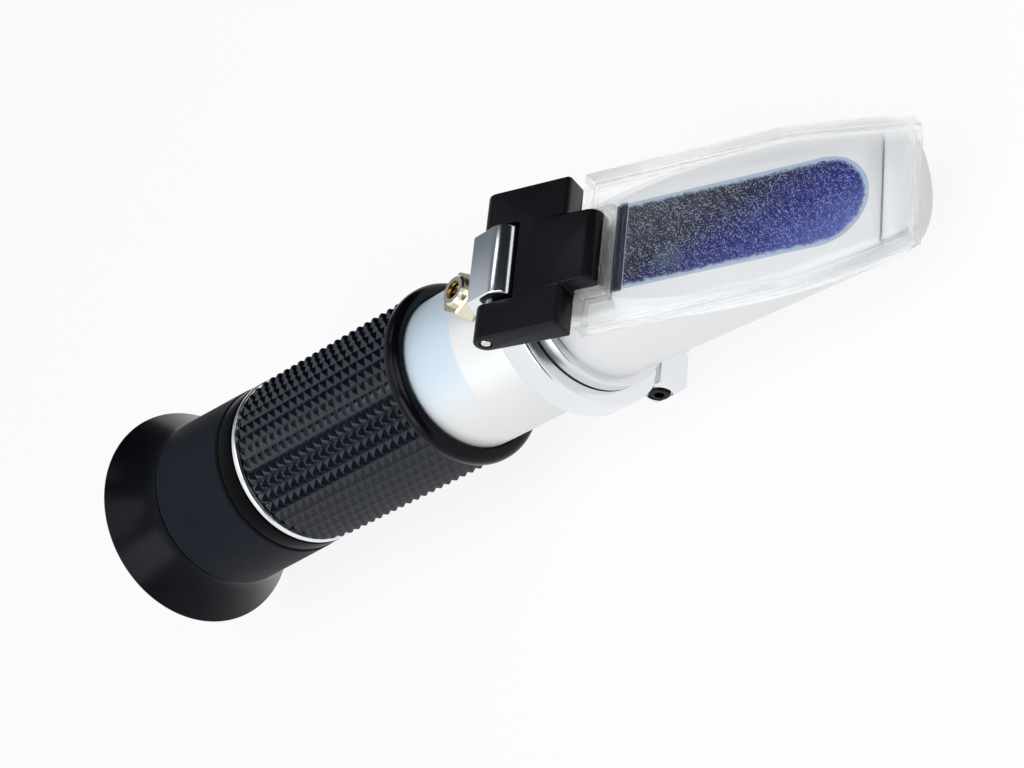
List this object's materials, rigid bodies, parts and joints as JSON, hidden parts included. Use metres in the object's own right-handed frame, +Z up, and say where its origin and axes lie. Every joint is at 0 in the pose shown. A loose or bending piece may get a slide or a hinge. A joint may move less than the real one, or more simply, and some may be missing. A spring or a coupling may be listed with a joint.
{
  "type": "handheld refractometer",
  "caption": "Handheld optical refractometer: ribbed grip tube, hinged clear cover over a sloping prism, calibration screw, turning focus ring and flared eyecup.",
  "frame": {"origin": "middle of the part's box in X and Y, at the height of the clamp ears' underside, on which the part lies", "axes": "+X along the optical axis from the eyecup to the prism end, +Z up towards the hinge and the calibration screw"},
  "size_m": [0.165, 0.0384, 0.0388],
  "materials": {
    "satin_aluminium": "satin",
    "bright_chrome": "polished",
    "head_casting": "satin plated casting",
    "brass": "polished",
    "steel": "ground",
    "grip_rubber": "moulded pyramids",
    "eyecup_rubber": "satin",
    "black_plastic": "fine matte",
    "blued_plastic": "finely ribbed",
    "black_oxide": "black oxide",
    "inner_black": "flat black",
    "optical_glass": "polished",
    "prism_glass": "finely ground, deep blue",
    "clear_acrylic": "clear moulded plastic",
    "strip_metal": "rolled strip"
  },
  "bodies": {
    "instrument_body": {"barrel_tube": "satin_aluminium", "grip_sleeve": "grip_rubber", "grip_collar": "eyecup_rubber", "chrome_ring": "bright_chrome", "eyepiece_housing": "black_plastic", "reticle_disc": "optical_glass", "reticle_retaining_ring": "inner_black", "light_baffle": "inner_black", "hinge_collar": "bright_chrome", "clamp_screw": "black_oxide", "hinge_pin": "steel", "prism_head": "head_casting", "prism": "prism_glass", "prism_seal": "inner_black", "calibration_bush": "brass", "temperature_strip": "strip_metal", "strip_anchor": "inner_black"},
    "eyepiece_carriage": {"eyepiece_cell": "inner_black", "eye_lens": "optical_glass", "field_lens": "optical_glass", "lens_spacer": "inner_black", "lens_retaining_ring": "inner_black"},
    "focus_group": {"focus_ring": "blued_plastic", "cell_snap_ring": "steel", "eyecup": "eyecup_rubber"},
    "objective_carriage": {"objective_cell": "inner_black", "objective_lens": "optical_glass", "objective_retaining_ring": "inner_black"},
    "calibration_group": {"calibration_screw": "brass"},
    "cover": {"hinge_block": "black_plastic", "cover_plate": "clear_acrylic"}
  },
  "joints": [
    {"name": "cover_hinge", "type": "hinge", "parent": "instrument_body", "child": "cover", "pos_m": [0.02048, 0, 0.03527], "axis": [0, -1, 0], "range_deg": [0, 120]},
    {"name": "focus_slide", "type": "slide", "parent": "instrument_body", "child": "eyepiece_carriage", "axis": [-1, 0, 0], "range_m": [0, 0.002]},
    {"name": "focus_turn", "type": "hinge", "parent": "eyepiece_carriage", "child": "focus_group", "pos_m": [-0.0635, 0, 0.0196], "axis": [-1, 0, 0], "range_deg": [0, 180]},
    {"name": "calibration_turn", "type": "hinge", "parent": "instrument_body", "child": "calibration_group", "pos_m": [0.01178, 0, 0.0333], "axis": [0, 0, -1], "range_deg": [-180, 180]},
    {"name": "objective_shift", "type": "slide", "parent": "instrument_body", "child": "objective_carriage", "axis": [0, 0, -1], "range_m": [-0.0003, 0.0003]}
  ],
  "couplings": [
    {"joint": "focus_slide", "follows": "focus_turn", "m_per_rad": 0.0006366},
    {"joint": "calibration_turn", "follows": "objective_shift", "rad_per_m": 10472}
  ]
}
